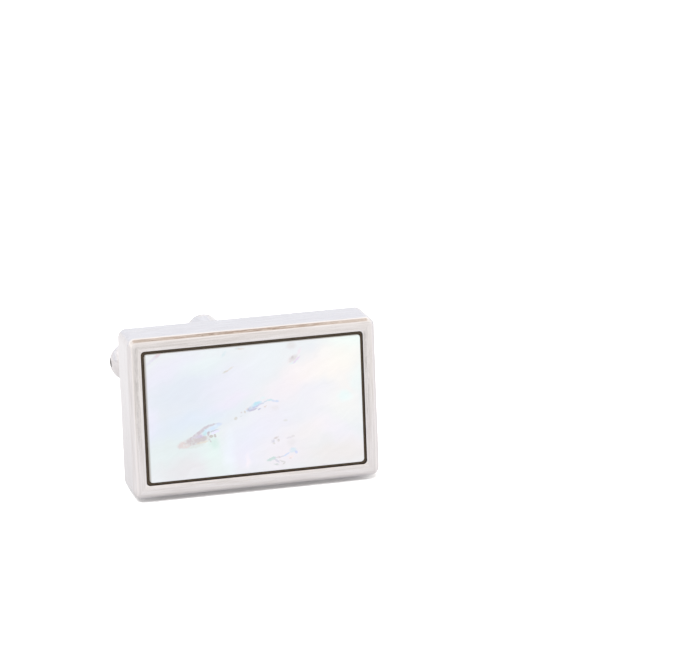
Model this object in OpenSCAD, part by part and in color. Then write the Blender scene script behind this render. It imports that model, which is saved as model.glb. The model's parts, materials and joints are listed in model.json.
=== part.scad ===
// A cufflink as it lies on a table, leaning back on the lower back edge of its case and on the
// end of its lower arm. Millimetres, +Z up, the face towards -Y, the origin on the table under
// the middle of the whole. Every piece is drawn upright first, with the back of the case at y = 0
// and its centre at z = 0, and lying() then leans it back.

/* [Case] */
// Width of the case along its long edge
case_w = 20; // [18:0.5:24]
// Height of the case along its short edge
case_h = 13; // [12:0.5:16]
// Depth of the case from front to back
case_d = 4.1; // [3.6:0.1:5]
// Radius of the four corners seen from the front
corner_r = 0.7; // [0.5:0.1:1.5]
// Width of the bevel round the front
bevel = 0.3; // [0.2:0.05:0.5]
// Rounding of the edge round the back
back_r = 0.25; // [0.1:0.05:0.4]

/* [Inlay] */
// Width of the metal frame round the recess
frame_w = 1.06; // [0.8:0.02:1.4]
// Depth of the recess
recess_d = 1.35; // [1:0.05:2]
// Radius of the corners of the recess
recess_r = 0.3; // [0.25:0.05:0.5]
// Width of the dark line between frame and pearl
line_w = 0.21; // [0.2:0.01:0.4]
// Radius of the corners of the pearl
pearl_r = 0.3; // [0.1:0.05:0.5]
// How far the dark bed lies below the front of the frame
bed_drop = 0.15; // [0.05:0.05:0.4]
// How far the pearl lies below the front of the frame
pearl_drop = 0.04; // [0.02:0.01:0.2]

/* [Post] */
// Distance of the pin from the back of the case
pin_y = 14.4; // [14:0.1:17]
// Radius of the round outside of each arm
arm_r = 1.45; // [1.2:0.05:1.6]
// Height of the outside of each arm above the middle of the post
arm_top = 3.4; // [3:0.05:3.8]
// Half of the gap between the arms
slot_half = 2.3; // [2.2:0.05:2.4]
// Length of the solid stem before the arms part
stem_l = 5.6; // [4.5:0.1:5.8]
// How far the foot of the post stands out round the stem
foot_rim = 0.5; // [0.3:0.1:0.8]
// Thickness of the foot of the post
foot_t = 0.35; // [0.2:0.05:0.6]

/* [Bar] */
// Length of the bar over its domed ends
bar_l = 16; // [15:0.1:16.4]
// Radius of the bar
bar_r = 1.6; // [1.2:0.05:1.7]
// Radius of the hole in each end of the bar
end_hole_r = 0.36; // [0.2:0.02:0.5]
// Depth of the hole in each end of the bar
end_hole_d = 1.2; // [0.5:0.1:2]
// Radius of the boss round the pin, above and below the bar
boss_r = 1.2; // [1:0.05:1.4]
// Radius of the pin
pin_r = 0.5; // [0.4:0.05:0.6]

/* [Hidden] */
$fn = 64;
seat_gap = 0.02;
pin_fit = 0.01;
pin_run = 0.05;
boss_gap = 0.08;
overshoot = 1;
bed_t = 0.15;
half_w = case_w / 2;
half_h = case_h / 2;
arm_z = arm_top - arm_r;

// The lean puts the rounded back edge and the round end of the lower arm on the table together
edge_y = -back_r;
edge_z = -half_h + back_r;
reach_y = pin_y - edge_y;
reach_z = -arm_z - edge_z;
lean = atan2(reach_z, reach_y) - asin((arm_r - back_r) / norm([reach_y, reach_z]));
lift = back_r + edge_y * sin(lean) - edge_z * cos(lean);
front_y = -case_d * cos(lean) - (half_h - bevel) * sin(lean);
rear_y = pin_y * cos(lean) + arm_z * sin(lean) + arm_r;
middle_y = (front_y + rear_y) / 2;

module lying() {
    translate([0, -middle_y, lift]) rotate([-lean, 0, 0]) children();
}

// Stands a shape drawn on the x-y plane up, so that its y becomes z and its height runs to -y
module upright() {
    rotate([90, 0, 0]) children();
}

// Rectangle with round corners
module round_rect(w, h, r) {
    square([w - 2 * r, h], center = true);
    square([w, h - 2 * r], center = true);
    for (x = [-1, 1], y = [-1, 1])
        translate([x * (w / 2 - r), y * (h / 2 - r)]) circle(r);
}

// Edge of the case in section: x from the inside outwards to reach, y from back to front
module edge_section(reach) {
    difference() {
        square([reach, case_d]);
        polygon([[reach - bevel, case_d], [reach, case_d - bevel], [reach + bevel, case_d + bevel]]);
        difference() {
            translate([reach - back_r, -overshoot]) square([back_r + overshoot, back_r + overshoot]);
            translate([reach - back_r, back_r]) circle(back_r);
        }
    }
}

// Slab with the case's edge on two opposite sides
module two_sided(reach, run) {
    translate([0, 0, -run / 2]) linear_extrude(run) {
        edge_section(reach);
        mirror([1, 0]) edge_section(reach);
    }
}

// Outside of the case, back at y = 0 and front at y = -case_d
module case_block() {
    mirror([0, 1, 0]) {
        two_sided(half_w, case_h - 2 * corner_r);
        rotate([0, 90, 0]) two_sided(half_h, case_w - 2 * corner_r);
        for (x = [-1, 1], z = [-1, 1])
            translate([x * (half_w - corner_r), 0, z * (half_h - corner_r)])
                rotate([-90, 0, 0]) rotate_extrude() edge_section(corner_r);
    }
}

// Recess for the inlay, open to the front
module recess() {
    translate([0, -case_d + recess_d, 0]) upright()
        linear_extrude(recess_d + overshoot)
            round_rect(case_w - 2 * frame_w, case_h - 2 * frame_w, recess_r);
}

// Oval of the post in section
module post_oval(grow) {
    square([2 * (arm_r + grow), 2 * arm_z], center = true);
    for (z = [-1, 1])
        translate([0, z * arm_z]) circle(arm_r + grow);
}

// Two-armed post, from inside the case to the rounded ends of the arms
module post() {
    difference() {
        union() {
            translate([0, pin_y, 0]) upright() linear_extrude(pin_y + back_r) post_oval(0);
            translate([0, foot_t, 0]) upright() linear_extrude(foot_t + back_r) post_oval(foot_rim);
            for (z = [-1, 1])
                translate([0, pin_y, z * arm_z]) sphere(arm_r);
        }
        translate([-arm_r - overshoot, stem_l + slot_half, -slot_half])
            cube([2 * (arm_r + overshoot), pin_y, 2 * slot_half]);
        translate([0, stem_l + slot_half, 0]) rotate([0, 90, 0])
            cylinder(r = slot_half, h = 2 * (arm_r + overshoot), center = true);
        translate([0, pin_y, 0]) cylinder(r = pin_r + pin_fit, h = case_h, center = true);
    }
}

module case() {
    color("gainsboro") lying() {
        difference() {
            case_block();
            recess();
        }
        post();
    }
}

// Tray that fills the line round the pearl and lies under it
module black_bed() {
    bed_w = case_w - 2 * (frame_w + seat_gap);
    bed_h = case_h - 2 * (frame_w + seat_gap);
    wall = line_w - 2 * seat_gap;
    color("black") lying() translate([0, -case_d + recess_d - seat_gap, 0]) upright()
        difference() {
            linear_extrude(recess_d - seat_gap - bed_drop)
                round_rect(bed_w, bed_h, recess_r - seat_gap);
            translate([0, 0, bed_t]) linear_extrude(recess_d)
                round_rect(bed_w - 2 * wall, bed_h - 2 * wall, pearl_r + seat_gap);
        }
}

module pearl_inlay() {
    inset = frame_w + line_w;
    color("lavender") lying() translate([0, -case_d + recess_d - bed_t - 2 * seat_gap, 0]) upright()
        linear_extrude(recess_d - bed_t - 2 * seat_gap - pearl_drop)
            round_rect(case_w - 2 * inset, case_h - 2 * inset, pearl_r);
}

// Pin whose ends are polished off flush with the round outside of the arms
module hinge_pin() {
    color("silver") lying() translate([0, pin_y, 0]) {
        cylinder(r = pin_r, h = 2 * arm_z, center = true);
        for (z = [-1, 1])
            intersection() {
                translate([0, 0, z * arm_z]) sphere(arm_r);
                translate([0, 0, z * case_h / 4]) cylinder(r = pin_r, h = case_h / 2, center = true);
            }
    }
}

// Outline of half of the bar, from its middle to its domed end, to be turned about its length
module bar_section() {
    square([bar_r, bar_l / 2 - bar_r]);
    intersection() {
        translate([0, bar_l / 2 - bar_r]) circle(bar_r);
        square([bar_r, bar_l / 2]);
    }
}

module toggle_bar() {
    color("silver") lying() translate([0, pin_y, 0]) difference() {
        union() {
            for (side = [-1, 1])
                rotate([0, side * 90, 0]) rotate_extrude() bar_section();
            cylinder(r = boss_r, h = 2 * (slot_half - boss_gap), center = true);
        }
        cylinder(r = pin_r + pin_run, h = case_h, center = true);
        for (side = [-1, 1])
            translate([side * bar_l / 2, 0, 0]) rotate([0, 90, 0])
                cylinder(r = end_hole_r, h = 2 * end_hole_d, center = true);
    }
}

case();
black_bed();
pearl_inlay();
hinge_pin();
toggle_bar();
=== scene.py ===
"""Rectangular mother-of-pearl cufflink with a swivel bar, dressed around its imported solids.

Pieces are drawn upright in millimetres, with the back of the case at y = 0, its front towards -y and
its centre at z = 0. place() then leans them back as the solids lie, in the row frame in metres.
"""

import json
import math

import bpy
import numpy as np
from bpy.props import FloatProperty, FloatVectorProperty, PointerProperty
from mathutils import Matrix, Quaternion, Vector


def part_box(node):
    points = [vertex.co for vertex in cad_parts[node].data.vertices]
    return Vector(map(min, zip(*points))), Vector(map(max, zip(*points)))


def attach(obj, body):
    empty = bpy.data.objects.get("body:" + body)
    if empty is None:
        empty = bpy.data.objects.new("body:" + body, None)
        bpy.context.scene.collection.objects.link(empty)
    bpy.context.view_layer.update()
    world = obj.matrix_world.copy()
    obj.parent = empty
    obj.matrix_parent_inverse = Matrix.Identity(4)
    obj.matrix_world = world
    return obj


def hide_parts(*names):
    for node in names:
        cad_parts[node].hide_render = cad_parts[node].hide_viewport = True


bl_info = {
    "name": "Pearl Inlay Cufflink",
    "version": (1, 0, 0),
    "blender": (4, 5, 0),
    "location": "3D Viewport > Sidebar > Cufflink",
    "description": "Builds a rectangular cufflink with a mother-of-pearl inlay and a swivel bar",
    "category": "Object",
}

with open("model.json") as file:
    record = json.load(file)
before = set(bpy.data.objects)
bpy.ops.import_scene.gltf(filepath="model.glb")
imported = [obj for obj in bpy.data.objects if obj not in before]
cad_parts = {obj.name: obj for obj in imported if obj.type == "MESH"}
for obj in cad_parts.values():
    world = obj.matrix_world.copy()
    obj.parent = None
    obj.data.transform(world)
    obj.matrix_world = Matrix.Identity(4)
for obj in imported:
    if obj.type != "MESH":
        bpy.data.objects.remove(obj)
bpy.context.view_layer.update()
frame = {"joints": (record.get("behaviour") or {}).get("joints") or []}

MM = 0.001
SWIVEL = frame["joints"][0]
LEAN = math.atan2(SWIVEL["axis"][1], SWIVEL["axis"][2])
CASE_LOW, CASE_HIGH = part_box("case")

# Steps round each corner of a lofted outline, and across each rounded edge in section
CORNER_STEPS = 12
EDGE_STEPS = 6
# How far the section of a slab runs in over its top and bottom, in mm from its side
SLAB_INSIDE = -1
# Cell of the meshes that are drawn from a distance field, and their margin round the shape, in mm
FIELD_STEP = 0.09
FIELD_MARGIN = 0.2
# Steps that bring the points of such a mesh onto its surface
SETTLE_STEPS = 8


def linear(code):
    """Linear RGBA of an sRGB hex colour."""
    channels = [int(code[i : i + 2], 16) / 255 for i in (1, 3, 5)]
    return [c / 12.92 if c <= 0.04045 else ((c + 0.055) / 1.055) ** 2.4 for c in channels] + [1.0]


def length(name, description, size):
    """A length that the panel shows, given in mm and kept in metres."""
    return FloatProperty(
        name=name, description=description, default=size * MM, min=0, precision=5, unit="LENGTH"
    )


def colour(name, description, code):
    """A colour that the panel shows."""
    return FloatVectorProperty(
        name=name, description=description, default=linear(code), size=4, min=0, max=1, subtype="COLOR"
    )


class CufflinkSizes(bpy.types.PropertyGroup):
    """Sizes of the visible pieces."""

    case_width: length("Case width", "Long edge of the case", (CASE_HIGH.x - CASE_LOW.x) / MM)
    case_height: length("Case height", "Short edge of the case", 13)
    case_depth: length("Case depth", "Case from front to back", 4.1)
    corner: length("Corner radius", "Corners of the case seen from the front", 0.7)
    bevel: length("Bevel", "Bevel round the front", 0.3)
    back_round: length("Back edge", "Rounding of the edge round the back", 0.25)
    arris: length("Arris", "Radius that polishing leaves along the outside of the bevel", 0.4)
    inner_arris: length("Inner arris", "Radius that polishing leaves along the inside of the bevel", 0.2)
    frame: length("Frame", "Metal frame round the recess", 1.06)
    frame_arris: length("Frame arris", "Radius that polishing leaves round the opening", 0.08)
    crown: length("Crown", "Rise that polishing leaves along the middle of the frame", 0.012)
    recess: length("Recess", "Depth of the recess", 1.35)
    recess_corner: length("Recess corner", "Corner radius of the recess", 0.3)
    line: length("Dark line", "Width of the dark line round the pearl", 0.21)
    line_drop: length("Line drop", "Dark line below the front of the frame", 0.15)
    pearl_drop: length("Pearl drop", "Pearl below the front of the frame", 0.04)
    pearl_corner: length("Pearl corner", "Corners of the pearl seen from the front", 0.3)
    pearl_edge: length("Pearl edge", "Radius of the pearl's polished edge", 0.05)
    seat: length("Seat", "Gap between seated pieces", 0.02)
    tray: length("Tray floor", "Thickness of the resin under the pearl", 0.15)
    pin_reach: length("Pin reach", "Pin from the back of the case", 14.4)
    arm: length("Arm radius", "Round outside of each arm", 1.45)
    arm_top: length("Arm height", "Outside of each arm above the middle of the post", 3.4)
    slot: length("Half slot", "Half of the gap between the arms", 2.3)
    stem: length("Stem", "Solid stem before the arms part", 5.6)
    foot_rim: length("Foot rim", "Foot of the post round the stem", 0.5)
    foot: length("Foot", "Thickness of the foot", 0.35)
    bar_length: length("Bar length", "Bar over its domed ends", 16)
    bar: length("Bar radius", "Radius of the bar", 1.6)
    hole: length("End hole radius", "Hole in each end of the bar", 0.36)
    hole_depth: length("End hole depth", "Depth of the hole in each end of the bar", 1.2)
    boss: length("Boss radius", "Boss round the pin, above and below the bar", 1.2)
    boss_gap: length("Boss gap", "Running gap between boss and arm", 0.08)
    pin: length("Pin radius", "Radius of the pin", 0.5)
    pin_gap: length("Pin gap", "Running gap between pin and bar", 0.05)


class CufflinkColours(bpy.types.PropertyGroup):
    """Colours of the finishes and of the set."""

    rhodium: colour("Rhodium", "Polished plate of case, post, bar and pin", "#E3DFDE")
    nickel: colour("Nickel", "Plate where the nickel under it shows a little", "#D6D1CF")
    # Painted reflection: darker brown in the scratches of the upper bevel, for the ceiling that the bevel
    # mirrors
    painted_bevel_reflection: colour("Dull nickel", "Nickel in the worn scratches of the upper bevel", "#B1A49C")
    # Painted highlight: lighter plate along the inside of the bevel on the short sides
    painted_bevel_highlight: colour("Burnished", "Plate along the edges that the wheel burnishes most", "#E7E2E0")
    # Painted shade: near-black inside the bar's end holes
    bore: colour("Bore", "Unpolished inside of the bar's end holes", "#23262A")
    # Painted shade: brown along the pearl's upper and left edges, where its side walls fall in shade
    shaded_rim: colour("Stain", "Pearl that the resin stained, along its upper and left edges", "#7C705F")
    resin: colour("Resin", "Black resin round the pearl", "#3C3226")
    dust: colour("Dust", "Dust caught in the resin", "#574B3D")
    nacre: colour("Nacre", "Body of the mother-of-pearl", "#E2E7EB")
    table: colour("Table", "Opal sheet under the cufflink", "#E7E9ED")


# Shapes


def mm(metres):
    """A length in mm of one in metres."""
    return metres / MM


def place(points):
    """Row-frame points in metres of upright points in mm."""
    sizes = bpy.context.scene.cufflink_sizes
    back = np.array([0, math.cos(LEAN), -math.sin(LEAN)])
    up = np.array([0, math.sin(LEAN), math.cos(LEAN)])
    origin = np.array(SWIVEL["pos_m"]) - sizes.pin_reach * back
    points = np.asarray(points, float) * MM
    return origin + points[:, :1] * np.array([1, 0, 0]) + points[:, 1:2] * back + points[:, 2:] * up


def turn(directions):
    """Row-frame directions of upright ones."""
    lean = np.array(Matrix.Rotation(-LEAN, 3, "X"))
    return np.asarray(directions, float) @ lean.T


def piece(name, points, faces, normals, finishes, body, slot, *nodes):
    """One smooth piece with its own normals, in place of the solids that it stands for."""
    mesh = bpy.data.meshes.new(name)
    mesh.from_pydata(place(points).tolist(), [], faces)
    mesh.validate()
    mesh.polygons.foreach_set("use_smooth", [True] * len(mesh.polygons))
    mesh.normals_split_custom_set_from_vertices(turn(normals).tolist())
    for finish in finishes:
        mesh.materials.append(finish)
    made = bpy.data.objects.new(name, mesh)
    bpy.context.scene.collection.objects.link(made)
    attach(made, body)
    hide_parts(*nodes)
    return made


def rounded_profile(corners):
    """Section line through corners (out, y, radius), as points (out, y) with their normals."""
    at = np.array([c[:2] for c in corners], float)
    along = np.diff(at, axis=0)
    along /= np.linalg.norm(along, axis=1)[:, None]
    side = np.stack([along[:, 1], -along[:, 0]], 1)
    line = [(at[0], side[0])]
    for i in range(1, len(at) - 1):
        bend = math.acos(max(-1, min(1, along[i - 1] @ along[i])))
        convex = along[i - 1][0] * along[i][1] - along[i - 1][1] * along[i][0] > 0
        radius = corners[i][2]
        start = at[i] - along[i - 1] * radius * math.tan(bend / 2)
        sign = 1 if convex else -1
        centre = start - sign * radius * side[i - 1]
        for step in range(EDGE_STEPS + 1):
            share = step / EDGE_STEPS
            normal = math.sin((1 - share) * bend) * side[i - 1] + math.sin(share * bend) * side[i]
            normal /= np.linalg.norm(normal)
            line.append((centre + sign * radius * normal, normal))
    line.append((at[-1], side[-1]))
    return line


def loft(half_w, half_h, line, radius_at):
    """Closed skin of a section line carried round a rectangle whose corner radius is radius_at(out)."""
    points, normals = [], []
    for (out, y), (n_out, n_y) in line:
        radius = radius_at(out)
        for corner, (sx, sz) in enumerate(((1, 1), (-1, 1), (-1, -1), (1, -1))):
            for step in range(CORNER_STEPS + 1):
                angle = math.radians(90 * (corner + step / CORNER_STEPS))
                c, s = math.cos(angle), math.sin(angle)
                x = sx * (half_w + out - radius) + radius * c
                z = sz * (half_h + out - radius) + radius * s
                points.append((x, y, z))
                normals.append((c * n_out, n_y, s * n_out))
    count = 4 * (CORNER_STEPS + 1)
    faces = []
    for ring in range(len(line) - 1):
        for i in range(count):
            j = (i + 1) % count
            low, high = ring * count, (ring + 1) * count
            faces.append((low + i, high + i, high + j, low + j))
    faces.append(tuple(range(count)))
    last = (len(line) - 1) * count
    faces.append(tuple(last + i for i in reversed(range(count))))
    return points, faces, normals


def skin(field, low, high, step):
    """Smooth closed mesh where field is 0, with normals from its gradient."""
    low = np.array(low, float)
    count = np.ceil((np.array(high) - low) / step).astype(int) + 1
    axes = [low[i] + step * np.arange(count[i]) for i in range(3)]
    inside = field(*np.meshgrid(*axes, indexing="ij")) < 0
    corners = sum(
        inside[i : count[0] - 1 + i, j : count[1] - 1 + j, k : count[2] - 1 + k].astype(int)
        for i in (0, 1)
        for j in (0, 1)
        for k in (0, 1)
    )
    crossed = (corners > 0) & (corners < 8)
    index = np.full(crossed.shape, -1)
    index[crossed] = np.arange(crossed.sum())
    points = low + step * (np.argwhere(crossed) + 0.5)
    faces = []
    for axis in range(3):
        b, c = (axis + 1) % 3, (axis + 2) % 3
        first = np.take(inside, range(count[axis] - 1), axis)
        second = np.take(inside, range(1, count[axis]), axis)
        edges = np.argwhere(first != second)
        keep = np.ones(len(edges), bool)
        for other in (b, c):
            keep &= (edges[:, other] > 0) & (edges[:, other] < count[other] - 1)
        edges = edges[keep]
        to_b, to_c = np.eye(3, dtype=int)[b], np.eye(3, dtype=int)[c]
        quads = np.stack([index[tuple((edges - o).T)] for o in (0 * to_b, to_b, to_b + to_c, to_c)], 1)
        leaving = inside[tuple(edges.T)]
        quads[~leaving] = quads[~leaving][:, ::-1]
        faces += quads.tolist()
    for _ in range(SETTLE_STEPS):
        value, slope = field(*points.T), gradient(field, points)
        shift = value / np.maximum((slope**2).sum(1), 1e-6)
        shift = np.clip(shift, -step, step)
        points = points - shift[:, None] * slope
    normals = gradient(field, points)
    normals /= np.maximum(np.linalg.norm(normals, axis=1), 1e-9)[:, None]
    return points, faces, normals


def gradient(field, points, reach=0.004):
    """Slope of a field at points, by differences over reach mm."""
    slope = np.zeros_like(points)
    for axis in range(3):
        shift = np.zeros(3)
        shift[axis] = reach
        slope[:, axis] = (field(*(points + shift).T) - field(*(points - shift).T)) / (2 * reach)
    return slope


def join(a, b, radius):
    """Union of two fields with a fillet."""
    share = np.clip(0.5 + 0.5 * (b - a) / radius, 0, 1)
    return b * (1 - share) + a * share - radius * share * (1 - share)


def cut(a, b, radius):
    """Field a without field b, with a rounded edge between them."""
    return -join(-a, b, radius)


# Materials

# Settings of a Map Range node that eases in and out, and of a Math node that multiplies
SMOOTH = {"interpolation_type": "SMOOTHSTEP"}
PRODUCT = {"operation": "MULTIPLY"}


def node(tree, kind, settings=None, links=None):
    """Adds one node: settings go to its sockets or properties, links to its sockets."""
    made = tree.nodes.new(kind)
    for name, value in (settings or {}).items():
        if not isinstance(name, int) and hasattr(made, name):
            setattr(made, name, value)
        else:
            made.inputs[name].default_value = value
    for name, source in (links or {}).items():
        tree.links.new(source, made.inputs[name])
    return made


def blank(name):
    """An empty node material with its output."""
    made = bpy.data.materials.new(name)
    made.use_nodes = True
    made.node_tree.nodes.clear()
    return made, made.node_tree


def upright_mm(tree):
    """Upright coordinates in mm, whatever the lean."""
    origin = place([(0, 0, 0)])[0]
    lean = Matrix.Rotation(LEAN, 3, "X")
    shift = -(lean @ Vector(origin)) / MM
    place_in = node(tree, "ShaderNodeTexCoord")
    return node(
        tree,
        "ShaderNodeMapping",
        {"vector_type": "POINT", "Location": shift, "Rotation": (LEAN, 0, 0), "Scale": (1 / MM,) * 3},
        {"Vector": place_in.outputs["Object"]},
    ).outputs["Vector"]


def patch(tree, at, under, oval, tint, strength, soft):
    """Colour under, with one soft-edged oval of another tint on it.

    The oval is its centre x and z, its half length and half width in mm, and its turn in degrees.
    """
    x, z, half_l, half_w, angle = oval
    reach = 1 + soft / 2
    shape = node(tree, "ShaderNodeTexGradient", {"gradient_type": "SPHERICAL"}, {"Vector": at})
    mapping = shape.texture_mapping
    mapping.vector_type = "TEXTURE"
    mapping.translation = (x, 0, z)
    mapping.rotation = (0, -math.radians(angle), 0)
    mapping.scale = (half_l * reach, 1e6, half_w * reach)
    share = node(
        tree,
        "ShaderNodeMapRange",
        {**SMOOTH, "From Max": soft / reach, "To Max": strength},
        {"Value": shape.outputs["Fac"]},
    )
    over = {"data_type": "RGBA", 7: tint}
    return node(tree, "ShaderNodeMix", over, {0: share.outputs[0], 6: under}).outputs[2]


def edge_lines(tree, at, parts):
    """Coordinates that run along the nearest edge of the case, and along x over its back.

    With them come the distance in from that edge, and 1 where it is on one of the short sides.
    """
    sizes = bpy.context.scene.cufflink_sizes
    reach = []
    for axis, half in (("X", mm(sizes.case_width) / 2), ("Z", mm(sizes.case_height) / 2)):
        size = node(tree, "ShaderNodeMath", {"operation": "ABSOLUTE"}, {0: parts[axis]})
        gap = node(tree, "ShaderNodeMath", {"operation": "SUBTRACT", 0: half}, {1: size.outputs[0]})
        reach.append(gap.outputs[0])
    both = dict(enumerate(reach))
    inset = node(tree, "ShaderNodeMath", {"operation": "MINIMUM"}, both).outputs[0]
    upward = node(tree, "ShaderNodeMath", {"operation": "LESS_THAN"}, both).outputs[0]
    along = node(tree, "ShaderNodeMix", {"data_type": "FLOAT"}, {0: upward, 2: parts["X"], 3: parts["Z"]})
    lined = node(tree, "ShaderNodeCombineXYZ", links={"X": along.outputs[0], "Y": parts["Y"], "Z": inset})
    # All that lies less than 0.02 mm in front of y = 0 is the back
    back = node(tree, "ShaderNodeMath", {"operation": "GREATER_THAN", 1: -0.02}, {0: parts["Y"]})
    lined = node(
        tree, "ShaderNodeMix", {"data_type": "VECTOR"}, {0: back.outputs[0], 4: lined.outputs[0], 5: at}
    )
    return lined.outputs[1], inset, upward


def bevel_scratches(tree, lined, inset, depth):
    """Relief of scratches on the bevel, some 0.8 mm long and 0.1 mm apart, and a mask along them for
    painted reflection streaks.

    They break what the bevel mirrors into streaks.
    """
    sizes = bpy.context.scene.cufflink_sizes
    front, bevel = -mm(sizes.case_depth), mm(sizes.bevel)
    on_bevel = node(tree, "ShaderNodeMath", {"operation": "LESS_THAN", 1: 2 * bevel}, {0: inset})
    # They fade out towards both edges of the bevel, between these shares of its depth
    for bare, marked in ((0.85, 0.65), (0.1, 0.3)):
        span = {"From Min": front + bare * bevel, "From Max": front + marked * bevel}
        band = node(tree, "ShaderNodeMapRange", {**SMOOTH, **span}, {"Value": depth})
        on_bevel = node(tree, "ShaderNodeMath", PRODUCT, {0: on_bevel.outputs[0], 1: band.outputs[0]})
    cuts = node(tree, "ShaderNodeMapping", {"Scale": (1.3, 10, 10)}, {"Vector": lined})
    marks = node(tree, "ShaderNodeTexNoise", {"Scale": 1.0, "Detail": 2.0}, {"Vector": cuts.outputs[0]})
    relief = node(tree, "ShaderNodeMath", {"operation": "SUBTRACT", 1: 0.5}, {0: marks.outputs["Fac"]})
    # Mask of the painted reflection streaks, following the same marks
    darker = node(
        tree, "ShaderNodeMapRange", {"From Min": 0.36, "From Max": 0.6}, {"Value": marks.outputs["Fac"]}
    )
    return [
        node(tree, "ShaderNodeMath", PRODUCT, {0: each.outputs[0], 1: on_bevel.outputs[0]}).outputs[0]
        for each in (relief, darker)
    ]


def plate_with_painted_light(tree, at, plate, inset, upward, scratches):
    """Colour of the plate on the case, with a painted highlight along the inside of the bevel on the short
    sides and painted reflection streaks on the upper bevel.
    """
    sizes = bpy.context.scene.cufflink_sizes
    colours = bpy.context.scene.cufflink_colours
    # Painted highlight: on the short sides the plate is lighter up to 0.09 mm round the inside of the
    # bevel, for the white line that its arris mirrors
    off = node(tree, "ShaderNodeMath", {"operation": "SUBTRACT", 1: mm(sizes.bevel)}, {0: inset})
    off = node(tree, "ShaderNodeMath", {"operation": "ABSOLUTE"}, {0: off.outputs[0]})
    edge = node(
        tree,
        "ShaderNodeMapRange",
        {**SMOOTH, "From Min": 0.09, "From Max": 0.02},
        {"Value": off.outputs[0]},
    )
    bright = node(tree, "ShaderNodeMath", PRODUCT, {0: edge.outputs[0], 1: upward})
    plate = node(
        tree,
        "ShaderNodeMix",
        {"data_type": "RGBA", 7: colours.painted_bevel_highlight},
        {0: bright.outputs[0], 6: plate},
    ).outputs[2]
    # Painted reflection: darker brown streaks along the scratches in the middle of the upper bevel, for the
    # warm ceiling that it mirrors
    oval = (-0.3, mm(sizes.case_height) / 2, 7.6, 0.8, 0)
    painted_brown_reflection = patch(tree, at, plate, oval, colours.painted_bevel_reflection, 0.85, 1.2)
    return node(
        tree, "ShaderNodeMix", {"data_type": "RGBA"}, {0: scratches, 6: plate, 7: painted_brown_reflection}
    ).outputs[2]


def rhodium_plate(name, run):
    """Rhodium over polished nickel: near-white, mirror-bright, with the hairlines of the polishing wheel.

    The hairlines run along "X" or "Y", or with "frame" along each edge of the case and along its back.
    """
    made, tree = blank(name)
    colours = bpy.context.scene.cufflink_colours
    at = upright_mm(tree)
    parts = node(tree, "ShaderNodeSeparateXYZ", links={"Vector": at}).outputs
    if run == "frame":
        lined, inset, upward = edge_lines(tree, at, parts)
    else:
        ordered = {"X": parts[run], "Y": parts["X" if run == "Y" else "Y"], "Z": parts["Z"]}
        lined = node(tree, "ShaderNodeCombineXYZ", links=ordered).outputs[0]
    # Hairlines 0.15 mm apart and some 3 mm long: the real ones are finer, and wouldn't show
    hair = node(tree, "ShaderNodeMapping", {"Scale": (0.33, 7, 7)}, {"Vector": lined})
    hairlines = node(
        tree,
        "ShaderNodeTexNoise",
        {"Scale": 1.0, "Detail": 3.0, "Roughness": 0.6},
        {"Vector": hair.outputs[0]},
    ).outputs["Fac"]
    # Slow ripples some 8 mm long and 2 mm apart that hand polishing leaves
    calm = node(tree, "ShaderNodeMapping", {"Scale": (0.12, 0.5, 0.5)}, {"Vector": lined})
    ripples = node(
        tree, "ShaderNodeTexNoise", {"Scale": 1.0, "Detail": 1.0}, {"Vector": calm.outputs[0]}
    ).outputs["Fac"]
    # Depths of the relief are in metres, as the part is
    reliefs = [(hairlines, 0.00002), (ripples, 0.00006)]
    if run == "frame":
        scratches, darker = bevel_scratches(tree, lined, inset, parts["Y"])
        reliefs.append((scratches, 0.00002))
    normal = {}
    for height, deep in reliefs:
        bump = node(
            tree, "ShaderNodeBump", {"Strength": 0.5, "Distance": deep}, {"Height": height, **normal}
        )
        normal = {"Normal": bump.outputs[0]}
    gloss = node(tree, "ShaderNodeMapRange", {"To Min": 0.05, "To Max": 0.16}, {"Value": hairlines})
    # Nickel shows a little through the thinner plate between the hairlines
    streak = node(tree, "ShaderNodeMapRange", {"From Min": 0.35, "From Max": 0.65}, {"Value": hairlines})
    plate = node(
        tree,
        "ShaderNodeMix",
        {"data_type": "RGBA", 6: colours.nickel, 7: colours.rhodium},
        {0: streak.outputs[0]},
    ).outputs[2]
    if run == "frame":
        plate = plate_with_painted_light(tree, at, plate, inset, upward, darker)
    shader = node(
        tree,
        "ShaderNodeBsdfPrincipled",
        {"Metallic": 1.0},
        {"Base Color": plate, "Roughness": gloss.outputs[0], **normal},
    )
    node(tree, "ShaderNodeOutputMaterial", links={"Surface": shader.outputs[0]})
    return made


def dark_bore():
    """Painted shade in the bar's end holes: dull and nearly black, for the shade deep inside a drilled
    hole.
    """
    made, tree = blank("bore_painted_shade")
    at = upright_mm(tree)
    # Marks of the drill some 0.1 mm wide
    marks = node(tree, "ShaderNodeTexNoise", {"Scale": 9.0, "Detail": 4.0}, {"Vector": at})
    gloss = node(
        tree, "ShaderNodeMapRange", {"To Min": 0.45, "To Max": 0.8}, {"Value": marks.outputs["Fac"]}
    )
    shader = node(
        tree,
        "ShaderNodeBsdfPrincipled",
        {"Metallic": 1.0, "Base Color": bpy.context.scene.cufflink_colours.bore},
        {"Roughness": gloss.outputs[0]},
    )
    node(tree, "ShaderNodeOutputMaterial", links={"Surface": shader.outputs[0]})
    return made


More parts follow.
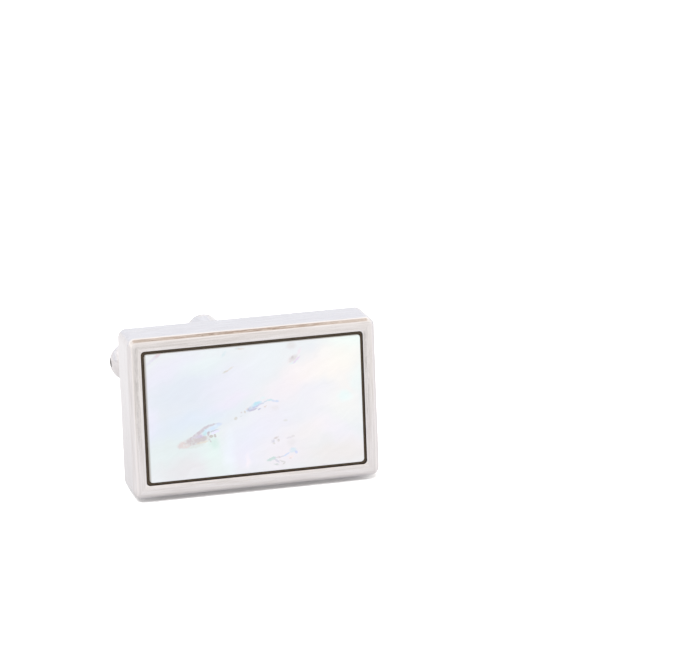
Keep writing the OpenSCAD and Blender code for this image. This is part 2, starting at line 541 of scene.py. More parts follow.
def black_resin():
    """Black epoxy resin that cured in place: glossy, brown-black, with dust caught in it."""
    made, tree = blank("black_epoxy_resin")
    colours = bpy.context.scene.cufflink_colours
    at = upright_mm(tree)
    # Dust in clouds some 0.15 mm wide: the real specks are finer, and wouldn't show
    dust = node(tree, "ShaderNodeTexNoise", {"Scale": 6.0, "Detail": 4.0}, {"Vector": at})
    tint = node(
        tree,
        "ShaderNodeMix",
        {"data_type": "RGBA", 6: colours.resin, 7: colours.dust},
        {0: dust.outputs["Fac"]},
    )
    gloss = node(
        tree, "ShaderNodeMapRange", {"To Min": 0.35, "To Max": 0.6}, {"Value": dust.outputs["Fac"]}
    )
    shader = node(
        tree,
        "ShaderNodeBsdfPrincipled",
        {"IOR": 1.5, "Specular IOR Level": 0.2},
        {"Base Color": tint.outputs[2], "Roughness": gloss.outputs[0]},
    )
    node(tree, "ShaderNodeOutputMaterial", links={"Surface": shader.outputs[0]})
    return made


# Clouds of colour in the nacre: centre x and z, half length and half width in mm, turn in degrees,
# colour and strength. They lie along the shell's growth, which rises to the right.
CLOUDS = (
    (-5.4, 1.9, 4.2, 2.2, 8, "#D3DDEC", 0.9),
    (-4.2, 4.1, 1.9, 0.8, 8, "#E2EFF0", 0.8),
    (-7.2, 3.6, 2.6, 0.8, 30, "#E6E3F4", 0.8),
    (-8.4, -0.7, 0.7, 1.6, 0, "#E6E2F8", 0.7),
    (-5.2, -0.7, 3.4, 0.9, 12, "#D2E0F1", 0.9),
    (-6.8, -2.8, 2.8, 1.4, 4, "#D6E5E5", 0.9),
    (-3.4, -3.2, 0.8, 1.9, 8, "#DCF1EC", 0.9),
    (-5.6, -4.3, 2.0, 0.7, 0, "#DEDADF", 0.8),
    (-2.2, -3.6, 0.35, 1.6, -6, "#E8F4FA", 0.8),
    (-0.8, -2.4, 1.6, 1.4, 20, "#E0E6F6", 0.8),
    (-1.0, -4.0, 1.1, 1.2, 0, "#E9E4F7", 0.7),
    (-0.85, -4.4, 0.22, 0.5, 0, "#F6EEF4", 0.8),
    (-1.6, 2.4, 2.4, 1.1, 25, "#E8E5F4", 0.7),
    (-1.9, 0.8, 1.8, 0.5, 22, "#EBE3F5", 0.7),
    (0.9, 3.9, 2.2, 1.1, 40, "#E3EBF0", 0.8),
    (3.0, 1.9, 2.4, 1.1, 35, "#F1E6EE", 0.8),
    (1.4, -1.2, 1.9, 1.5, 10, "#E8E4F5", 0.7),
    (5.2, 2.9, 2.2, 1.0, 10, "#F5F0EC", 0.9),
    (7.0, 2.2, 1.2, 1.8, 30, "#F7F2EC", 0.8),
    (7.7, 4.0, 1.8, 1.2, -30, "#F4F4EC", 0.9),
    (8.0, 4.9, 1.4, 0.7, 0, "#E7F7F3", 0.8),
    (5.0, 0.4, 1.5, 1.2, 0, "#EBE8F2", 0.8),
    (7.2, -0.4, 1.7, 1.1, -20, "#F0F1EE", 0.9),
    (7.2, 0.45, 0.5, 0.45, 0, "#DDF4F5", 0.8),
    (8.3, 1.6, 0.5, 0.7, 0, "#E4F4F3", 0.7),
    (6.6, -2.4, 2.4, 0.7, -32, "#EFEAF6", 0.7),
    (4.2, -2.2, 1.8, 0.9, 10, "#F1EAEC", 0.8),
    (6.6, -4.2, 3.0, 1.0, 0, "#E8E0DD", 0.8),
    (2.0, -3.9, 1.6, 1.2, 0, "#F0E5F0", 0.7),
)
# How much of those colours the milky nacre over them lets through, and how soft their edges are
VEIL = 0.62
CLOUD_SOFTNESS = 1.6
# Flaws in the nacre, written the same way, with a softness for their edge. The largest, at the left, is
# a hollow of the shell with a brown tail and a blue lining.
FLAWS = (
    (-7.7, 5.0, 0.5, 0.12, 32, "#D5CCDA", 0.8, 1.1),
    (-8.2, 4.6, 0.5, 0.1, 35, "#D8D8E8", 0.6, 1.1),
    (-7.55, 5.15, 0.25, 0.07, 32, "#E4CDD2", 0.6, 1.0),
    (-5.7, -2.35, 0.62, 0.3, 10, "#D8CCCC", 0.9, 0.7),
    (-6.2, -2.5, 0.12, 0.18, 0, "#D5CBCD", 0.6, 1.0),
    (-4.95, -2.6, 0.6, 0.12, 8, "#D3DAD7", 0.7, 1.0),
    (-3.4, -2.5, 0.35, 0.45, 30, "#C9E3DC", 0.6, 1.4),
    (-4.8, -2.1, 0.95, 0.34, 6, "#C6BEC2", 0.95, 0.6),
    (-4.35, -2.33, 0.5, 0.09, 8, "#DDD8CC", 0.7, 0.8),
    (-4.55, -1.5, 0.95, 0.15, 33, "#C5BBC6", 0.9, 0.6),
    (-4.5, -1.8, 0.4, 0.13, 15, "#C9C0DA", 0.8, 1.0),
    (-3.6, -1.0, 0.55, 0.08, 10, "#C4C1CC", 0.9, 0.7),
    (-3.0, -0.97, 0.25, 0.12, 0, "#C6D4EC", 0.7, 1.2),
    (-4.05, -1.53, 0.3, 0.2, 30, "#B4DDE6", 0.9, 0.9),
    (-3.55, -1.28, 0.6, 0.16, 18, "#CCDFF4", 0.9, 0.9),
    (-3.3, -1.6, 0.4, 0.1, 18, "#E2E2FA", 0.9, 0.8),
    (-3.4, -1.47, 0.45, 0.035, 14, "#A9A9C8", 0.7, 0.9),
    (-3.85, -1.66, 0.09, 0.2, -10, "#BDB4BF", 0.9, 0.6),
    (-3.63, -1.9, 0.16, 0.11, 0, "#BDB9B5", 0.95, 0.5),
    (-3.32, -1.88, 0.1, 0.15, 20, "#C0BCBE", 0.95, 0.5),
    (-3.72, -2.22, 0.19, 0.05, -50, "#BDB3BC", 0.8, 0.7),
    (-1.6, -0.65, 0.15, 0.12, 20, "#CFCFCC", 0.9, 0.8),
    (-1.1, -0.22, 0.07, 0.07, 0, "#CDC6CC", 0.8, 0.8),
    (-1.12, -0.5, 0.1, 0.05, 30, "#CDD8DC", 0.7, 0.9),
    (-0.83, -0.2, 0.12, 0.08, -60, "#CFCBC6", 0.9, 0.7),
    (-0.65, 0.08, 0.12, 0.05, 30, "#DCD2CA", 0.7, 0.8),
    (-0.22, 0.1, 0.55, 0.16, 25, "#BFCBE0", 0.9, 0.7),
    (-0.53, -0.05, 0.13, 0.08, -60, "#B9B6C8", 0.9, 0.6),
    (0.13, 0.37, 0.4, 0.16, 20, "#B4DCEC", 0.95, 0.8),
    (0.17, 0.2, 0.45, 0.06, 25, "#B4BEE0", 0.9, 0.7),
    (-0.12, -0.05, 0.35, 0.06, 15, "#B5B0CC", 0.8, 0.8),
    (0.36, -0.08, 0.14, 0.06, 8, "#BFBFD6", 0.95, 0.7),
    (0.68, 0.8, 0.2, 0.12, 0, "#D6E9EC", 0.6, 1.2),
    (0.85, 0.1, 0.12, 0.07, 20, "#D6CCC8", 0.9, 0.8),
    (0.78, 0.45, 0.28, 0.05, 28, "#C4D0E0", 0.9, 0.7),
    (1.22, 0.57, 0.25, 0.09, 0, "#BEDCE6", 0.9, 0.8),
    (1.62, 0.45, 0.3, 0.07, -8, "#C4D3EC", 0.9, 0.9),
    (1.6, -0.1, 0.3, 0.2, 0, "#DAD8DC", 0.5, 1.4),
    (2.43, -1.2, 0.16, 0.08, 0, "#D5D6D6", 0.7, 1.0),
    (-2.2, 3.25, 0.3, 0.07, 22, "#CDCEC8", 0.9, 0.9),
    (-2.15, 3.25, 0.1, 0.05, 20, "#D8C9C9", 0.8, 0.8),
    (-1.8, 3.48, 0.2, 0.06, 30, "#D6D2CC", 0.8, 0.9),
    (-2.35, 4.65, 0.3, 0.12, 50, "#CEDFE4", 0.7, 1.1),
    (-1.2, 5.0, 0.2, 0.08, 0, "#CBD8DC", 0.6, 1.0),
    (-0.95, 4.95, 0.3, 0.07, 0, "#D9D1CC", 0.8, 1.0),
    (3.1, 4.85, 0.35, 0.28, 0, "#D9D8DB", 0.8, 1.3),
    (3.75, 4.3, 0.3, 0.12, 60, "#EADBE6", 0.6, 1.2),
    (3.25, 3.45, 0.4, 0.08, 20, "#D5E8EA", 0.6, 1.0),
    (3.2, 3.78, 0.42, 0.2, 32, "#D3CFD2", 0.9, 1.0),
    (3.2, 3.85, 0.14, 0.08, 32, "#C6C2C4", 0.8, 0.9),
    (3.5, 3.65, 0.4, 0.06, 40, "#DCC9E6", 0.8, 1.0),
    (1.62, -2.54, 0.22, 0.09, 20, "#CFC9CC", 0.95, 0.8),
    (1.78, -2.76, 0.09, 0.13, 0, "#CFCBCB", 0.9, 0.8),
    (1.35, -2.8, 0.15, 0.13, 50, "#CFD0DC", 0.9, 0.9),
    (1.4, -2.98, 0.1, 0.07, 0, "#D2D0D0", 0.8, 0.9),
    (2.65, -2.64, 0.25, 0.09, 8, "#DAD8E0", 0.8, 0.9),
    (3.0, -2.54, 0.15, 0.09, 0, "#D7D5D8", 0.8, 0.9),
    (2.85, -3.05, 0.3, 0.3, 0, "#DDDCE0", 0.5, 1.4),
    (1.2, -4.24, 0.38, 0.13, 12, "#C1D5D4", 0.95, 0.6),
    (1.75, -4.16, 0.22, 0.07, 0, "#D0C9D0", 0.9, 0.8),
    (2.05, -4.12, 0.15, 0.06, 5, "#CCCFDC", 0.9, 0.8),
    (2.75, -4.25, 0.22, 0.13, 20, "#F0E2E2", 0.7, 1.0),
    (2.72, -4.35, 0.1, 0.06, 0, "#DBD0D2", 0.8, 0.9),
    (2.4, -3.99, 0.3, 0.05, 28, "#C6D4EE", 0.9, 0.7),
    (2.92, -3.69, 0.28, 0.19, 20, "#CDE0EC", 0.85, 0.9),
    (3.2, -3.89, 0.14, 0.12, -40, "#C4D0F0", 0.9, 0.8),
    (1.6, -4.44, 0.25, 0.1, -40, "#CBCCD8", 0.9, 0.8),
    (1.55, -4.72, 0.22, 0.07, -5, "#C2CCCB", 0.95, 0.7),
    (2.05, -4.52, 0.25, 0.06, -20, "#CFD0D2", 0.9, 0.7),
    (2.15, -4.7, 0.14, 0.06, 35, "#CDCCCC", 0.9, 0.8),
)


def mother_of_pearl():
    """Mother-of-pearl, ground flat and polished: milky, with pale clouds of interference colour."""
    made, tree = blank("polished_mother_of_pearl")
    at = upright_mm(tree)
    sizes = bpy.context.scene.cufflink_sizes
    colours = bpy.context.scene.cufflink_colours
    # The borders of the clouds wander by up to 0.8 mm, and those of the flaws by up to 0.1 mm
    borders = {}
    for key, scale, reach in (("clouds", 0.55, 1.6), ("flaws", 4.5, 0.22)):
        wander = node(
            tree, "ShaderNodeTexNoise", {"Scale": scale, "Detail": 3.0, "Roughness": 0.55}, {"Vector": at}
        )
        centred = node(
            tree,
            "ShaderNodeVectorMath",
            {"operation": "SUBTRACT", 1: (0.5, 0.5, 0.5)},
            {0: wander.outputs["Color"]},
        )
        borders[key] = node(
            tree,
            "ShaderNodeVectorMath",
            {"operation": "MULTIPLY_ADD", 1: (reach, 0, reach)},
            {0: centred.outputs[0], 2: at},
        ).outputs[0]
    body = node(tree, "ShaderNodeRGB")
    body.outputs[0].default_value = colours.nacre
    clear = body.outputs[0]
    for *oval, code, strength in CLOUDS:
        clear = patch(tree, borders["clouds"], clear, oval, linear(code), strength * VEIL, CLOUD_SOFTNESS)
    flawed = clear
    for *oval, code, strength, soft in FLAWS:
        flawed = patch(tree, borders["flaws"], flawed, oval, linear(code), strength, soft)
    # Clear nacre in blots some 0.2 mm wide breaks the flaws up
    blots = node(tree, "ShaderNodeTexNoise", {"Scale": 5.5, "Detail": 2.0}, {"Vector": at})
    shown = node(
        tree,
        "ShaderNodeMapRange",
        {"From Min": 0.3, "From Max": 0.55, "To Min": 0.5, "To Max": 1.0},
        {"Value": blots.outputs["Fac"]},
    )
    tint = node(
        tree, "ShaderNodeMix", {"data_type": "RGBA"}, {0: shown.outputs[0], 6: clear, 7: flawed}
    ).outputs[2]
    # Painted shade some 0.2 mm in from the left edge, and half as far from the upper one, where the pearl's
    # side walls fall in shade
    inset = mm(sizes.frame + sizes.line)
    parts = node(tree, "ShaderNodeSeparateXYZ", links={"Vector": at}).outputs
    left = node(
        tree, "ShaderNodeMath", {"operation": "ADD", 1: mm(sizes.case_width) / 2 - inset}, {0: parts["X"]}
    )
    top = node(
        tree,
        "ShaderNodeMath",
        {"operation": "SUBTRACT", 0: mm(sizes.case_height) / 2 - inset},
        {1: parts["Z"]},
    )
    top = node(tree, "ShaderNodeMath", {**PRODUCT, 1: 2.0}, {0: top.outputs[0]})
    nearest = node(
        tree, "ShaderNodeMath", {"operation": "MINIMUM"}, {0: left.outputs[0], 1: top.outputs[0]}
    )
    rim_shade = node(
        tree,
        "ShaderNodeMapRange",
        {**SMOOTH, "From Min": 0.22, "From Max": 0.0, "To Max": 0.85},
        {"Value": nearest.outputs[0]},
    )
    tint = node(
        tree, "ShaderNodeMix", {"data_type": "RGBA", 7: colours.shaded_rim}, {0: rim_shade.outputs[0], 6: tint}
    ).outputs[2]
    # Growth layers about 0.4 mm apart, drawn out along the shell at 25 degrees
    layers = node(
        tree,
        "ShaderNodeMapping",
        {"vector_type": "TEXTURE", "Rotation": (0, -math.radians(25), 0), "Scale": (3.2, 1e6, 0.4)},
        {"Vector": borders["clouds"]},
    )
    grain = node(
        tree,
        "ShaderNodeTexNoise",
        {"Scale": 1.0, "Detail": 4.0, "Roughness": 0.6},
        {"Vector": layers.outputs[0]},
    )
    lighter = node(
        tree, "ShaderNodeMapRange", {"To Min": 0.95, "To Max": 1.035}, {"Value": grain.outputs["Fac"]}
    )
    tint = node(
        tree, "ShaderNodeVectorMath", {"operation": "SCALE"}, {0: tint, "Scale": lighter.outputs[0]}
    ).outputs[0]
    relief = node(
        tree, "ShaderNodeBump", {"Strength": 0.2, "Distance": 0.00001}, {"Height": grain.outputs["Fac"]}
    )
    shader = node(
        tree,
        "ShaderNodeBsdfPrincipled",
        {"IOR": 1.6, "Roughness": 0.16, "Coat Weight": 0.35, "Coat Roughness": 0.06, "Coat IOR": 1.5},
        {"Base Color": tint, "Normal": relief.outputs[0]},
    )
    node(tree, "ShaderNodeOutputMaterial", links={"Surface": shader.outputs[0]})
    return made


def opal_acrylic(lit):
    """Opal acrylic sheet lit from below: white and satin.

    The eye sees the lit one, overexposed so that only the shadow of contact is left, and the metal
    mirrors the other.
    """
    made, tree = blank("opal_acrylic_lit" if lit else "opal_acrylic_sheet")
    if lit:
        shader = node(tree, "ShaderNodeBsdfDiffuse", {"Color": (1, 1, 1, 1)})
    else:
        table = bpy.context.scene.cufflink_colours.table
        shader = node(
            tree,
            "ShaderNodeBsdfPrincipled",
            {"Base Color": table, "Roughness": 0.7, "Emission Color": table, "Emission Strength": 0.1},
        )
    node(tree, "ShaderNodeOutputMaterial", links={"Surface": shader.outputs[0]})
    return made


# Pieces


class CUFFLINK_OT_case_shell(bpy.types.Operator):
    """Build the polished case with its bevelled frame and recess"""

    bl_idname = "cufflink.case_shell"
    bl_label = "Case shell"

    def execute(self, context):
        s = context.scene.cufflink_sizes
        front, bevel, rim, crown = -mm(s.case_depth), mm(s.bevel), mm(s.frame), mm(s.crown)
        flat = rim - bevel
        # Radius with which the crown's arc takes up 0.72 of the flat
        crown_arc = 0.09 * flat**2 / crown
        line = rounded_profile(
            (
                (-rim, front + mm(s.recess), 0),
                (-rim, front + crown, mm(s.frame_arris)),
                (-(rim + bevel) / 2, front - crown, crown_arc),
                (-bevel, front + crown, mm(s.inner_arris)),
                (0, front + bevel, mm(s.arris)),
                (0, 0, mm(s.back_round)),
                (-rim, 0, 0),
            )
        )
        corner = mm(s.corner)

        def radius_at(out):
            return np.interp(out, (-rim, -bevel, 0), (mm(s.recess_corner), corner - bevel, corner))

        points, faces, normals = loft(mm(s.case_width) / 2, mm(s.case_height) / 2, line, radius_at)
        finish = [rhodium_plate("polished_rhodium_plate", "frame")]
        piece("case_shell", points, faces, normals, finish, "link", "rhodium_plate", "case")
        return {"FINISHED"}


class CUFFLINK_OT_fork_post(bpy.types.Operator):
    """Build the oval post that is soldered to the back and parts into two arms"""

    bl_idname = "cufflink.fork_post"
    bl_label = "Forked post"

    def execute(self, context):
        s = context.scene.cufflink_sizes
        arm, arm_z, reach = mm(s.arm), mm(s.arm_top - s.arm), mm(s.pin_reach)
        slot, foot = mm(s.slot), mm(s.foot)
        crotch = mm(s.stem) + slot
        # Rounded edges, fillet at the foot, bead of solder, gap round the pin, and depth of the foot's seat
        edge, hole_edge, fillet, bead, hole_gap, sunk = 0.12, 0.03, 0.3, 0.15, 0.02, 0.06

        def field(x, y, z):
            over = np.maximum(np.abs(z) - arm_z, 0)
            oval = np.hypot(x, over)
            stem = np.sqrt(x**2 + over**2 + np.maximum(y - reach, 0) ** 2) - arm
            gap = np.hypot(np.minimum(y - crotch, 0), z) - slot
            fork = cut(stem, gap, edge)
            solder = bead * np.clip(1 - y / bead, 0, 1) ** 2
            plate = cut(oval - arm - mm(s.foot_rim) - solder, foot - y, edge)
            post = join(fork, plate, fillet)
            hole = np.hypot(x, y - reach) - mm(s.pin) - hole_gap
            return np.maximum(cut(post, hole, hole_edge), -sunk - y)

        wide = arm + mm(s.foot_rim) + 2 * bead
        tall = mm(s.arm_top) + mm(s.foot_rim) + 2 * bead
        low, high = (-wide, -4 * FIELD_STEP, -tall), (wide, reach + arm + FIELD_MARGIN, tall)
        points, faces, normals = skin(field, low, high, FIELD_STEP)
        finish = [rhodium_plate("polished_rhodium_plate_post", "Y")]
        piece("fork_post", points, faces, normals, finish, "link", "rhodium_plate", "case")
        return {"FINISHED"}


class CUFFLINK_OT_resin_line(bpy.types.Operator):
    """Build the black resin that holds the pearl and shows as a line round it"""

    bl_idname = "cufflink.resin_line"
    bl_label = "Resin line"

    def execute(self, context):
        s = context.scene.cufflink_sizes
        front, seat, wall = -mm(s.case_depth), mm(s.seat), mm(s.line) - 2 * mm(s.seat)
        top, bottom = front + mm(s.line_drop), front + mm(s.recess) - seat
        floor = bottom - mm(s.tray)
        # The resin shrank as it cured: its top sags between two narrow lips
        sag, sag_round, lip, edge, inside_corner = 0.03, 0.2, 0.02, 0.03, 0.1
        line = rounded_profile(
            (
                (SLAB_INSIDE, floor, 0),
                (-wall, floor, edge),
                (-wall, top, lip),
                (-wall / 2, top + sag, sag_round),
                (0, top, lip),
                (0, bottom, edge),
                (SLAB_INSIDE, bottom, 0),
            )
        )
        corners = (inside_corner, mm(s.pearl_corner) + seat, mm(s.recess_corner) - seat)

        def radius_at(out):
            return np.interp(out, (SLAB_INSIDE, -wall, 0), corners)

        half_w = mm(s.case_width) / 2 - mm(s.frame) - seat
        half_h = mm(s.case_height) / 2 - mm(s.frame) - seat
        points, faces, normals = loft(half_w, half_h, line, radius_at)
        piece("resin_line", points, faces, normals, [black_resin()], "link", "black_resin", "black_bed")
        return {"FINISHED"}


class CUFFLINK_OT_pearl_plate(bpy.types.Operator):
    """Build the polished mother-of-pearl plate"""

    bl_idname = "cufflink.pearl_plate"
    bl_label = "Pearl plate"

    def execute(self, context):
        s = context.scene.cufflink_sizes
        front = -mm(s.case_depth)
        top = front + mm(s.pearl_drop)
        bottom = front + mm(s.recess) - mm(s.tray) - 2 * mm(s.seat)
        lower_edge = least_corner = 0.03
        line = rounded_profile(
            (
                (SLAB_INSIDE, top, 0),
                (0, top, mm(s.pearl_edge)),
                (0, bottom, lower_edge),
                (SLAB_INSIDE, bottom, 0),
            )
        )

        def radius_at(out):
            return max(mm(s.pearl_corner) + out, least_corner)

        inset = mm(s.frame) + mm(s.line)
        half_w, half_h = mm(s.case_width) / 2 - inset, mm(s.case_height) / 2 - inset
        points, faces, normals = loft(half_w, half_h, line, radius_at)
        finish = [mother_of_pearl()]
        piece("pearl_plate", points, faces, normals, finish, "link", "mother_of_pearl", "pearl_inlay")
        return {"FINISHED"}


class CUFFLINK_OT_pivot_pin(bpy.types.Operator):
    """Build the pin whose ends are polished off with the arms"""

    bl_idname = "cufflink.pivot_pin"
    bl_label = "Pivot pin"

    def execute(self, context):
        s = context.scene.cufflink_sizes
        arm, arm_z, pin, reach = mm(s.arm), mm(s.arm_top - s.arm), mm(s.pin), mm(s.pin_reach)
        # Rounding of the pin's ends, and half the width of the box that it is drawn in
        edge, half = 0.04, 0.7

        def field(x, y, z):
            across = np.hypot(x, y - reach)
            dome = np.sqrt(across**2 + np.maximum(np.abs(z) - arm_z, 0) ** 2) - arm
            return cut(across - pin, -dome, edge)

        top = mm(s.arm_top) + FIELD_MARGIN / 2
        low, high = (-half, reach - half, -top), (half, reach + half, top)
        points, faces, normals = skin(field, low, high, FIELD_STEP / 2)
        finish = [rhodium_plate("polished_rhodium_plate_pin", "Y")]
        piece("pivot_pin", points, faces, normals, finish, "link", "rhodium_plate", "hinge_pin")
        return {"FINISHED"}


class CUFFLINK_OT_swivel_bar(bpy.types.Operator):
    """Build the domed bar that turns on the pin"""

    bl_idname = "cufflink.swivel_bar"
    bl_label = "Swivel bar"

    def execute(self, context):
        s = context.scene.cufflink_sizes
        half, bar, reach = mm(s.bar_length) / 2, mm(s.bar), mm(s.pin_reach)
        boss_top = mm(s.slot - s.boss_gap)
        hole, floor = mm(s.hole), half - mm(s.hole_depth)
        # Fillets of the bosses, and the rounding of all edges
        fillet, edge = 0.35, 0.06

        def field(x, y, z):
            y = y - reach
            across = np.hypot(y, z)
            rod = np.hypot(np.maximum(np.abs(x) - half + bar, 0), across) - bar
            boss = cut(np.hypot(x, y) - mm(s.boss), boss_top - np.abs(z), edge)
            solid = join(rod, boss, fillet)
            solid = cut(solid, np.hypot(x, y) - mm(s.pin + s.pin_gap), edge)
            end = np.maximum(across - hole, floor - np.abs(x))
            return cut(solid, end, edge)

        low = (-half - FIELD_MARGIN, reach - bar - FIELD_MARGIN, -boss_top - FIELD_MARGIN)
        high = (half + FIELD_MARGIN, reach + bar + FIELD_MARGIN, boss_top + FIELD_MARGIN)
        points, faces, normals = skin(field, low, high, FIELD_STEP)
        finish = [rhodium_plate("polished_rhodium_plate_bar", "X"), dark_bore()]
        made = piece("swivel_bar", points, faces, normals, finish, "bar", "rhodium_plate", "toggle_bar")
        # The first 0.15 mm into each end hole keeps the plate, and painted shade covers the rest of it down
        # to its floor
        polished, below_floor, beyond_wall = 0.15, 0.1, 0.01
        centres = np.array([points[list(face)].mean(0) for face in faces])
        along, across = np.abs(centres[:, 0]), np.hypot(centres[:, 1] - reach, centres[:, 2])
        dark = (across < hole + beyond_wall) & (along < half - polished) & (along > floor - below_floor)
        made.data.polygons.foreach_set("material_index", dark.astype(int).tolist())
        return {"FINISHED"}


# Stage

# Colours of the studio by height, from 0 straight down to 1 straight up, behind the camera and then
# beyond the table, and the strength of its light
STUDIO_SIDES = (
    (
        (0.48, "#CDCCCB"),
        (0.55, "#CFCDCC"),
        (0.66, "#D5D4D3"),
        (0.74, "#DDDBD9"),
        (0.93, "#DDDBD9"),
        (0.975, "#BBB1A8"),
    ),
    (
        (0.48, "#C6C9D0"),
        (0.54, "#C8CBD2"),
        (0.66, "#D4D6DA"),
        (0.8, "#E2E2E2"),
        (0.94, "#E6E4E2"),
        (0.975, "#BBB1A8"),
    ),
)
STUDIO_POWER = 1.75
# Spots of the studio that the metal mirrors: direction, how near to it they are full and how far off
# they end, and their brightness. They are the dark edge of the camera's stand, which the frame mirrors
# as soft bands, a dark lamp holder over the upper bevel, and a bright panel beside the stand.
SPOTS = (
    ((0.144, -0.988, -0.04), 0.025, 0.06, 0.58),
    ((0.21, -0.043, 0.977), 0.015, 0.06, 0.6),
    ((0.262, -0.964, -0.045), 0.01, 0.035, 1.12),
)


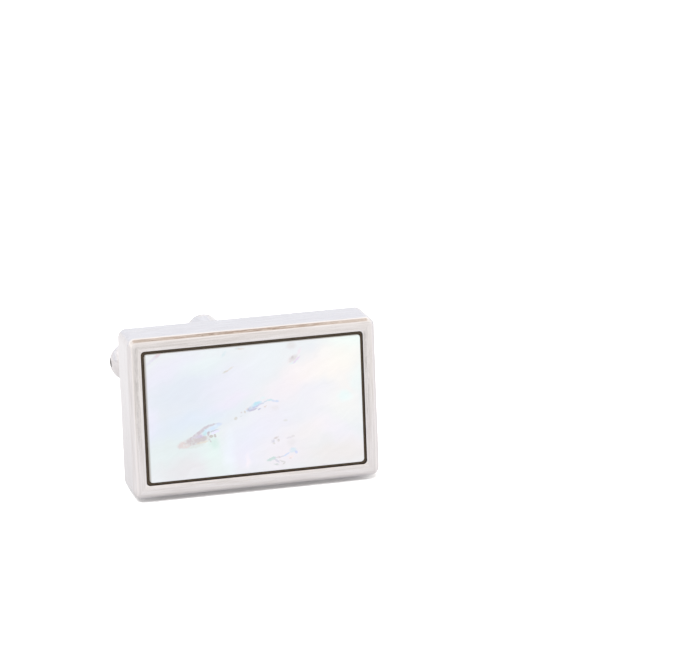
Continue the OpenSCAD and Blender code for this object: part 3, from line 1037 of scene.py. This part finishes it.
class CUFFLINK_OT_stage(bpy.types.Operator):
    """Build the table, the studio light and the camera"""

    bl_idname = "cufflink.stage"
    bl_label = "Stage"

    def execute(self, context):
        scene = context.scene
        # Two sheets in one place: the camera sees the upper one, and the metal mirrors the lower one
        side, front, back, sheet_gap = 0.4, -0.095, 0.6, 0.0001
        corners = [(-side, front, 0), (side, front, 0), (side, back, 0), (-side, back, 0)]
        for name, lit in (("table_top", True), ("table_glow", False)):
            mesh = bpy.data.meshes.new(name)
            mesh.from_pydata(corners, [], [(0, 1, 2, 3)])
            mesh.materials.append(opal_acrylic(lit))
            table = bpy.data.objects.new(name, mesh)
            table.visible_camera = lit
            table.visible_diffuse = table.visible_glossy = table.visible_shadow = not lit
            table.location.z = 0 if lit else -sheet_gap
            scene.collection.objects.link(table)

        self.sky(scene)
        # Softbox that overexposes the visible sheet alone, so that its shadow under the case stays narrow
        lamp = bpy.data.lights.new("front_softbox", "AREA")
        lamp.shape, lamp.size, lamp.energy = "SQUARE", 0.25, 8.0
        held = bpy.data.objects.new("front_softbox", lamp)
        held.location = (-0.12, -0.356, 0.47)
        held.rotation_euler = (-Vector(held.location)).to_track_quat("-Z", "Y").to_euler()
        scene.collection.objects.link(held)
        lit_by_it = bpy.data.collections.new("lit_by_front_softbox")
        lit_by_it.objects.link(bpy.data.objects["table_top"])
        held.light_linking.receiver_collection = lit_by_it

        # Long lens that looks down from the left, rolled by about a degree
        lens = bpy.data.cameras.new("camera")
        lens.lens, lens.sensor_width = 222.59, 36.0
        lens.clip_start, lens.clip_end = 0.05, 20
        camera = bpy.data.objects.new("camera", lens)
        camera.location = (-0.0713, -0.306074, 0.160048)
        aim = Vector((0.231751, 0.871355, -0.432472)).to_track_quat("-Z", "Y")
        roll = Quaternion((0, 0, 1), math.radians(1.075))
        camera.rotation_euler = (aim @ roll).to_euler()
        scene.collection.objects.link(camera)
        scene.camera = camera
        scene.view_settings.view_transform = "Standard"
        return {"FINISHED"}

    def sky(self, scene):
        """Studio round the table: bright walls, a warm ceiling, and a warmer side behind the camera."""
        world = bpy.data.worlds.new("studio")
        world.use_nodes = True
        tree = world.node_tree
        tree.nodes.clear()
        at = node(tree, "ShaderNodeTexCoord").outputs["Generated"]
        parts = node(tree, "ShaderNodeSeparateXYZ", links={"Vector": at}).outputs
        height = node(
            tree, "ShaderNodeMapRange", {"From Min": -1.0, "From Max": 1.0}, {"Value": parts["Z"]}
        )
        sides = []
        for stops in STUDIO_SIDES:
            ramp = node(tree, "ShaderNodeValToRGB", links={"Fac": height.outputs[0]})
            elements = ramp.color_ramp.elements
            while len(elements) < len(stops):
                elements.new(0.5)
            for element, (where, code) in zip(elements, stops):
                element.position = where
                element.color = linear(code)
            sides.append(ramp.outputs[0])
        beyond = node(
            tree,
            "ShaderNodeMapRange",
            {**SMOOTH, "From Min": -0.4, "From Max": 0.4},
            {"Value": parts["Y"]},
        )
        both = node(
            tree, "ShaderNodeMix", {"data_type": "RGBA"}, {0: beyond.outputs[0], 6: sides[0], 7: sides[1]}
        )
        # Beams and panels of the ceiling, which the bevel's hairlines break into streaks
        beams = node(tree, "ShaderNodeTexNoise", {"Scale": 14.0, "Detail": 2.0}, {"Vector": at})
        panels = node(
            tree,
            "ShaderNodeMapRange",
            {"From Min": 0.35, "From Max": 0.65, "To Min": 0.7, "To Max": 1.5},
            {"Value": beams.outputs["Fac"]},
        )
        ceiling = node(
            tree, "ShaderNodeMapRange", {"From Min": 0.8, "From Max": 0.95}, {"Value": parts["Z"]}
        )
        power = node(
            tree,
            "ShaderNodeMix",
            {"data_type": "FLOAT", 2: 1.0},
            {0: ceiling.outputs[0], 3: panels.outputs[0]},
        )
        power = node(tree, "ShaderNodeMath", {**PRODUCT, 1: STUDIO_POWER}, {0: power.outputs[0]})
        for where, near, far, level in SPOTS:
            away = node(tree, "ShaderNodeVectorMath", {"operation": "DISTANCE", 1: where}, {0: at})
            spot = node(
                tree,
                "ShaderNodeMapRange",
                {**SMOOTH, "From Min": near, "From Max": far, "To Min": level},
                {"Value": away.outputs["Value"]},
            )
            power = node(tree, "ShaderNodeMath", PRODUCT, {0: power.outputs[0], 1: spot.outputs[0]})
        light = node(
            tree, "ShaderNodeBackground", links={"Color": both.outputs[2], "Strength": power.outputs[0]}
        )
        node(tree, "ShaderNodeOutputWorld", links={"Surface": light.outputs[0]})
        scene.world = world


class CUFFLINK_PT_builder(bpy.types.Panel):
    """Lists the cufflink's pieces with its sizes and colours."""

    bl_idname = "CUFFLINK_PT_builder"
    bl_label = "Cufflink"
    bl_space_type = "VIEW_3D"
    bl_region_type = "UI"
    bl_category = "Cufflink"

    def draw(self, context):
        for operator in BUILDERS:
            self.layout.operator(operator.bl_idname)
        for group in (context.scene.cufflink_sizes, context.scene.cufflink_colours):
            box = self.layout.box()
            for name in group.__annotations__:
                box.prop(group, name)


BUILDERS = (
    CUFFLINK_OT_case_shell,
    CUFFLINK_OT_fork_post,
    CUFFLINK_OT_resin_line,
    CUFFLINK_OT_pearl_plate,
    CUFFLINK_OT_pivot_pin,
    CUFFLINK_OT_swivel_bar,
    CUFFLINK_OT_stage,
)
CLASSES = (CufflinkSizes, CufflinkColours) + BUILDERS + (CUFFLINK_PT_builder,)


def register():
    for each in CLASSES:
        bpy.utils.register_class(each)
    bpy.types.Scene.cufflink_sizes = PointerProperty(type=CufflinkSizes)
    bpy.types.Scene.cufflink_colours = PointerProperty(type=CufflinkColours)


def unregister():
    del bpy.types.Scene.cufflink_colours
    del bpy.types.Scene.cufflink_sizes
    for each in reversed(CLASSES):
        bpy.utils.unregister_class(each)


def main():
    register()
    for operator in BUILDERS:
        group, name = operator.bl_idname.split(".")
        getattr(getattr(bpy.ops, group), name)()


if __name__ == "__main__":
    main()
